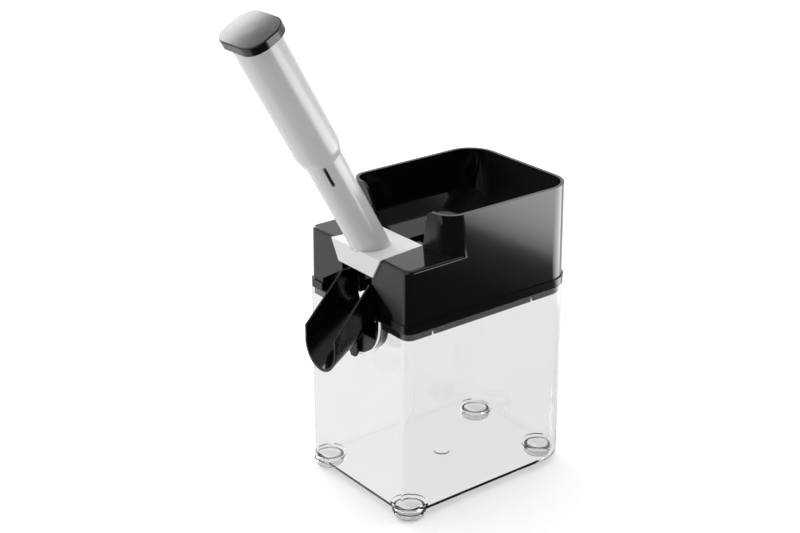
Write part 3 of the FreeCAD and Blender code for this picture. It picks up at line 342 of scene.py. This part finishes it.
links.new(entry.outputs["Film"], film_share.inputs[1])
links.new(entry.outputs["Roughness"], film_share.inputs[2])
hair_share = maths(tree, "MULTIPLY_ADD")
links.new(hair_lines.outputs["Result"], hair_share.inputs[0])
links.new(entry.outputs["Scratches"], hair_share.inputs[1])
links.new(film_share.outputs["Value"], hair_share.inputs[2])
links.new(hair_share.outputs["Value"], result.inputs["Roughness"])


def moulded(name, colour, roughness, drift=0.05, pit_size=0.0004, pit_depth=0.3, film=0.03,
            scratches=0.03):
    """A moulded plastic or rubber with its skin and handling marks, and its shader."""
    finish = bpy.data.materials.new(name)
    finish.use_nodes = True
    tree = finish.node_tree.nodes
    links = finish.node_tree.links
    shader = tree["Principled BSDF"]
    skin = tree.new("ShaderNodeGroup")
    skin.node_tree = moulded_skin
    skin.inputs["Color"].default_value = (*colour, 1.0)
    skin.inputs["Roughness"].default_value = roughness
    skin.inputs["Drift"].default_value = drift
    skin.inputs["Pit Size"].default_value = pit_size
    skin.inputs["Pit Depth"].default_value = pit_depth
    marks = tree.new("ShaderNodeGroup")
    marks.node_tree = handling
    marks.inputs["Film"].default_value = film
    marks.inputs["Scratches"].default_value = scratches
    links.new(skin.outputs["Roughness"], marks.inputs["Roughness"])
    relief = tree.new("ShaderNodeBump")
    relief.inputs["Distance"].default_value = 0.00002
    links.new(skin.outputs["Height"], relief.inputs["Height"])
    links.new(skin.outputs["Color"], shader.inputs["Base Color"])
    links.new(marks.outputs["Roughness"], shader.inputs["Roughness"])
    links.new(relief.outputs["Normal"], shader.inputs["Normal"])
    return finish, shader, marks


def dress(node, finish):
    """Gives a node that stays as it is its own finish."""
    slots = nodes[node].data.materials
    for index in range(len(slots)):
        slots[index] = finish


def stand_for(piece, node, body, finish):
    """Puts a finer piece in a node's place."""
    piece.data.materials.clear()
    piece.data.materials.append(finish)
    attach(piece, body)
    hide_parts(node)


clear_plastic, shader, marks = moulded("clear_plastic", (0.965, 0.975, 0.98), 0.012, drift=0.02,
                                       pit_size=0.03, pit_depth=1.0, film=0.012, scratches=0.02)
shader.inputs["Transmission Weight"].default_value = 1.0
shader.inputs["IOR"].default_value = 1.49
clear_box = merged_copy("container", "clear_box")
soften(clear_box, 0.0004, 40)
stand_for(clear_box, "container", "box", clear_plastic)


# The feet: round studs of softer clear plastic, pressed into the bosses of the box.
soft_clear, shader, marks = moulded("soft_clear_plastic", (0.93, 0.945, 0.95), 0.05, drift=0.03,
                                    pit_size=0.004, pit_depth=1.0, film=0.05, scratches=0.05)
shader.inputs["Transmission Weight"].default_value = 1.0
shader.inputs["IOR"].default_value = 1.47
for place in ("front_left", "front_right", "rear_left", "rear_right"):
    stud = merged_copy("foot_" + place, "stud_" + place)
    soften(stud, 0.0003, 40)
    stand_for(stud, "foot_" + place, "box", soft_clear)


# The head: one black moulding of hopper, deck, bed and skirt, polished in the mould except on its
# front faces, which are satin.
def satin_front(finish, marks, shader, satin):
    """Dulls what faces the chute's side."""
    tree = finish.node_tree.nodes
    links = finish.node_tree.links
    facing = tree.new("ShaderNodeTexCoord")
    ahead = tree.new("ShaderNodeVectorMath")
    ahead.operation = "DOT_PRODUCT"
    ahead.inputs[1].default_value = (0.0, -1.0, 0.0)
    links.new(facing.outputs["Normal"], ahead.inputs[0])
    front = spread(tree, (0.90, 0.97), (0.0, satin))
    links.new(ahead.outputs["Value"], front.inputs["Value"])
    rougher = maths(tree, "ADD")
    links.new(marks.outputs["Roughness"], rougher.inputs[0])
    links.new(front.outputs["Result"], rougher.inputs[1])
    links.new(rougher.outputs["Value"], shader.inputs["Roughness"])


gloss_black, shader, marks = moulded("gloss_black", (0.004, 0.004, 0.0045), 0.055, drift=0.10,
                                     pit_size=0.012, pit_depth=0.5, film=0.02, scratches=0.02)
satin_front(gloss_black, marks, shader, 0.30)
head = merged_copy("hopper_head", "hopper")
soften(head, 0.0004, 35)
stand_for(head, "hopper_head", "head", gloss_black)


# The chute: a black trough that is pulled out of the head to be washed.
chute_black, shader, marks = moulded("chute_black", (0.003, 0.003, 0.0035), 0.14, drift=0.10,
                                     pit_size=0.012, pit_depth=0.5, film=0.02, scratches=0.0)
shader.inputs["Specular IOR Level"].default_value = 0.25
trough = merged_copy("chute", "trough")
soften(trough, 0.0003, 35)
stand_for(trough, "chute", "outlet", chute_black)


# The cover over the seat: a white moulding that sits in the head's bed and holds the guide tube.
white_plastic, shader, marks = moulded("white_plastic", (0.92, 0.925, 0.93), 0.34, drift=0.02)
cover = merged_copy("plunger_cover", "cover")
soften(cover, 0.0003, 35)
stand_for(cover, "plunger_cover", "plunger_unit", white_plastic)
dress("rod_stripper", white_plastic)


# The guide tube and the sleeve that slides on it: light grey mouldings with a satin gloss.
light_grey, shader, marks = moulded("light_grey_plastic", (0.77, 0.78, 0.80), 0.24, drift=0.03)
shader.inputs["Coat Weight"].default_value = 0.3
shader.inputs["Coat Roughness"].default_value = 0.08
tube = merged_copy("guide_tube", "tube")
soften(tube, 0.0002, 35)
stand_for(tube, "guide_tube", "plunger_unit", light_grey)
sleeve = merged_copy("plunger_sleeve", "sleeve")
soften(sleeve, 0.0003, 35)
stand_for(sleeve, "plunger_sleeve", "plunger", light_grey)
dress("plunger_stem", light_grey)


# The cap the palm presses: a domed black pad with a plug in the sleeve's end, moulded with a satin
# gloss.
cap_black, shader, marks = moulded("cap_black", (0.004, 0.004, 0.0045), 0.19, drift=0.10,
                                   pit_size=0.012, pit_depth=0.5, film=0.03, scratches=0.03)
palm_cap = merged_copy("plunger_cap", "palm_cap")
smooth(palm_cap, 35)
stand_for(palm_cap, "plunger_cap", "plunger", cap_black)


# The steel: a drawn rod with a fluted tip, its cross pin and screw, the washer and the coil spring.
PLUNGER_TILT = 29.14
drawn_steel = bpy.data.materials.new("drawn_steel")
drawn_steel.use_nodes = True
tree = drawn_steel.node_tree.nodes
links = drawn_steel.node_tree.links
shader = tree["Principled BSDF"]
shader.inputs["Metallic"].default_value = 1.0
place = tree.new("ShaderNodeTexCoord")
drawn = tree.new("ShaderNodeMapping")
drawn.inputs["Rotation"].default_value = (math.radians(-PLUNGER_TILT), 0.0, 0.0)
drawn.inputs["Scale"].default_value = (5200.0, 5200.0, 90.0)
links.new(place.outputs["Object"], drawn.inputs["Vector"])
lines = tree.new("ShaderNodeTexNoise")
lines.inputs["Scale"].default_value = 1.0
lines.inputs["Detail"].default_value = 3.0
links.new(drawn.outputs["Vector"], lines.inputs["Vector"])
line_polish = spread(tree, (0.0, 1.0), (0.16, 0.34))
links.new(lines.outputs["Fac"], line_polish.inputs["Value"])
links.new(line_polish.outputs["Result"], shader.inputs["Roughness"])
line_tone = tree.new("ShaderNodeMix")
line_tone.data_type = "RGBA"
line_tone.inputs["A"].default_value = (0.55, 0.55, 0.56, 1.0)
line_tone.inputs["B"].default_value = (0.66, 0.66, 0.66, 1.0)
links.new(lines.outputs["Fac"], line_tone.inputs["Factor"])
links.new(line_tone.outputs["Result"], shader.inputs["Base Color"])
for node in ("stem_screw", "pitting_rod", "rod_pin", "spring_washer", "return_spring"):
    dress(node, drawn_steel)


# The soft parts: the seat that cups the fruit, its slit membrane and keeper, and the rod's wiper.
dark_rubber, shader, marks = moulded("dark_rubber", (0.028, 0.028, 0.030), 0.55, drift=0.12,
                                     pit_size=0.0003, pit_depth=1.0, film=0.06, scratches=0.02)
for node in ("rod_wiper", "pitting_seat", "seat_membrane", "seat_keeper"):
    dress(node, dark_rubber)
